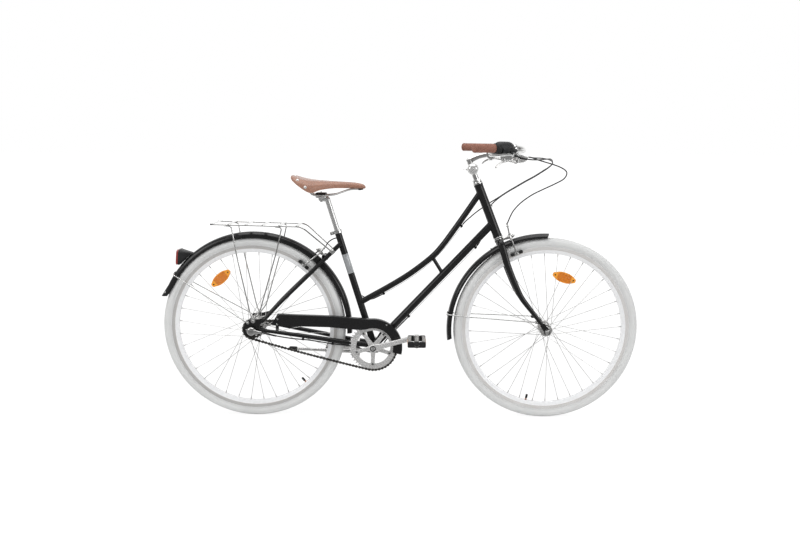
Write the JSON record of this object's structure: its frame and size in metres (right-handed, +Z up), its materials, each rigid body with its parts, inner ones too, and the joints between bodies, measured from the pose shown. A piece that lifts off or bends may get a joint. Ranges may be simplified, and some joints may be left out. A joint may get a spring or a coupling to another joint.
{
  "type": "bicycle",
  "caption": "City bike with a low curved frame, mudguards, rear rack, chain guard, hub gear, calliper brakes, bell, kickstand and adjustable saddle; wheels, cranks and fork turn.",
  "frame": {"origin": "on the ground, in the bike's middle plane, halfway between the tyres' front and rear edges", "axes": "+X forward, +Y to the rider's left, +Z up; the steering is straight and the steering, wheel and crank joints are at zero"},
  "size_m": [1.808, 0.5832, 1.0517],
  "materials": {
    "black_paint": "gloss enamel",
    "chrome": "bright chrome plate",
    "polished_alloy": "polished",
    "pale_rim": "satin, with brushed brake tracks",
    "pale_rubber": "matt",
    "tan_leather": "smooth, waxed",
    "tan_rubber": "matt, ribbed",
    "black_plastic": "satin",
    "black_casing": "satin",
    "amber_lens": "prismatic lens",
    "red_lens": "prismatic lens",
    "chain_steel": "oiled"
  },
  "bodies": {
    "frame": {"head_tube": "black_paint", "top_tube": "black_paint", "down_tube": "black_paint", "seat_tube": "black_paint", "chainstays": "black_paint", "seatstays": "black_paint", "seat_clamp": "chrome", "headset_upper_cup": "chrome", "headset_lower_cup": "chrome", "bottom_bracket": "chrome", "rear_fender": "black_paint", "rear_fender_stay": "chrome", "tail_reflector": "red_lens", "rear_rack": "chrome", "chain_guard": "black_paint", "rear_axle": "chrome", "shift_bell_crank": "black_plastic", "rear_brake_cable": "black_casing", "shift_cable": "black_casing", "chain": "chain_steel"},
    "steering": {"fork": "black_paint", "stem": "polished_alloy", "handlebar": "chrome", "grip_right": "tan_rubber", "grip_left": "tan_rubber", "lever_clamp_right": "polished_alloy", "lever_clamp_left": "polished_alloy", "shifter_body": "black_plastic", "front_fender": "black_paint", "front_fender_stay": "chrome", "front_axle": "chrome", "front_brake_cable": "black_casing", "bell": "chrome"},
    "front_wheel": {"front_hub": "polished_alloy", "front_rim": "pale_rim", "front_tyre": "pale_rubber", "front_wheel_reflector": "amber_lens"},
    "rear_wheel": {"rear_hub": "polished_alloy", "rear_rim": "pale_rim", "rear_tyre": "pale_rubber", "rear_wheel_reflector": "amber_lens"},
    "sprocket": {"rear_sprocket": "chain_steel"},
    "crank": {"crank_axle": "chrome", "crank_right": "polished_alloy", "chainring": "polished_alloy", "crank_left": "polished_alloy"},
    "pedal_right": {"pedal_right": "black_plastic"},
    "pedal_left": {"pedal_left": "black_plastic"},
    "seat": {"seatpost": "polished_alloy", "saddle_cover": "tan_leather", "saddle_rails": "chrome"},
    "kickstand": {"kickstand_leg": "polished_alloy"},
    "brake_lever_right": {"brake_lever_right": "polished_alloy"},
    "brake_lever_left": {"brake_lever_left": "polished_alloy"},
    "front_brake_arm_right": {"front_brake_arm_right": "polished_alloy"},
    "front_brake_arm_left": {"front_brake_arm_left": "polished_alloy"},
    "rear_brake_arm_right": {"rear_brake_arm_right": "polished_alloy"},
    "rear_brake_arm_left": {"rear_brake_arm_left": "polished_alloy"},
    "twist_shifter": {"twist_shifter": "black_plastic"},
    "bell_lever": {"bell_lever": "chrome"}
  },
  "joints": [
    {"name": "steering_turn", "type": "hinge", "parent": "frame", "child": "steering", "pos_m": [0.2925, 0, 0.8954], "axis": [-0.3665, 0, 0.9304], "range_deg": [-70, 70], "deforming": ["rear_brake_cable", "shift_cable"]},
    {"name": "front_wheel_spin", "type": "hinge", "parent": "steering", "child": "front_wheel", "pos_m": [0.5564, 0, 0.348], "axis": [0, 1, 0], "continuous": true},
    {"name": "rear_wheel_spin", "type": "hinge", "parent": "frame", "child": "rear_wheel", "pos_m": [-0.5504, 0, 0.348], "axis": [0, 1, 0], "continuous": true},
    {"name": "crank_spin", "type": "hinge", "parent": "frame", "child": "crank", "pos_m": [-0.0955, 0, 0.282], "axis": [0, 1, 0], "continuous": true, "deforming": ["chain"]},
    {"name": "sprocket_spin", "type": "hinge", "parent": "frame", "child": "sprocket", "pos_m": [-0.5504, 0, 0.348], "axis": [0, 1, 0], "continuous": true},
    {"name": "pedal_right_spin", "type": "hinge", "parent": "crank", "child": "pedal_right", "pos_m": [0.06775, -0.1375, 0.32943], "axis": [0, 1, 0], "continuous": true},
    {"name": "pedal_left_spin", "type": "hinge", "parent": "crank", "child": "pedal_left", "pos_m": [-0.25875, 0.1375, 0.23457], "axis": [0, 1, 0], "continuous": true},
    {"name": "seat_height", "type": "slide", "parent": "frame", "child": "seat", "axis": [-0.2957, 0, 0.9553], "range_m": [-0.04, 0.1]},
    {"name": "kickstand_swing", "type": "hinge", "parent": "frame", "child": "kickstand", "pos_m": [-0.165, 0.03, 0.245], "axis": [0.2434, -0.9455, -0.2162], "range_deg": [0, 89]},
    {"name": "brake_lever_right_pull", "type": "hinge", "parent": "steering", "child": "brake_lever_right", "pos_m": [0.40781, -0.2002, 0.9843], "axis": [-0.5021, 0.8084, -0.3071], "range_deg": [0, 20], "stiffness_Nm_per_rad": 1.5},
    {"name": "brake_lever_left_pull", "type": "hinge", "parent": "steering", "child": "brake_lever_left", "pos_m": [0.40781, 0.2002, 0.9843], "axis": [0.5021, 0.8084, 0.3071], "range_deg": [0, 20], "stiffness_Nm_per_rad": 1.5},
    {"name": "front_arm_right_close", "type": "hinge", "parent": "steering", "child": "front_brake_arm_right", "pos_m": [0.37559, 0, 0.68447], "axis": [0.9304, 0, 0.3665], "range_deg": [0, 1.5]},
    {"name": "front_arm_left_close", "type": "hinge", "parent": "steering", "child": "front_brake_arm_left", "pos_m": [0.37559, 0, 0.68447], "axis": [0.9304, 0, 0.3665], "range_deg": [-1.5, 0]},
    {"name": "rear_arm_right_close", "type": "hinge", "parent": "frame", "child": "rear_brake_arm_right", "pos_m": [-0.28, 0, 0.6226], "axis": [-0.7121, 0, 0.7021], "range_deg": [-1.35, 0]},
    {"name": "rear_arm_left_close", "type": "hinge", "parent": "frame", "child": "rear_brake_arm_left", "pos_m": [-0.28, 0, 0.6226], "axis": [-0.7121, 0, 0.7021], "range_deg": [0, 1.35]},
    {"name": "gear_twist", "type": "hinge", "parent": "steering", "child": "twist_shifter", "pos_m": [0.34479, -0.22281, 1.02783], "axis": [0.8512, 0.5247, -0.0107], "range_deg": [-50, 50]},
    {"name": "bell_lever_flick", "type": "hinge", "parent": "steering", "child": "bell_lever", "pos_m": [0.25001, -0.0195, 0.94923], "axis": [0, 1, 0], "range_deg": [-20, 0], "stiffness_Nm_per_rad": 0.02}
  ],
  "couplings": [
    {"joint": "sprocket_spin", "follows": "crank_spin", "ratio": 2.4444},
    {"joint": "front_arm_right_close", "follows": "brake_lever_right_pull", "ratio": 0.07},
    {"joint": "front_arm_left_close", "follows": "brake_lever_right_pull", "ratio": -0.07},
    {"joint": "rear_arm_right_close", "follows": "brake_lever_left_pull", "ratio": -0.0623},
    {"joint": "rear_arm_left_close", "follows": "brake_lever_left_pull", "ratio": 0.0623}
  ]
}
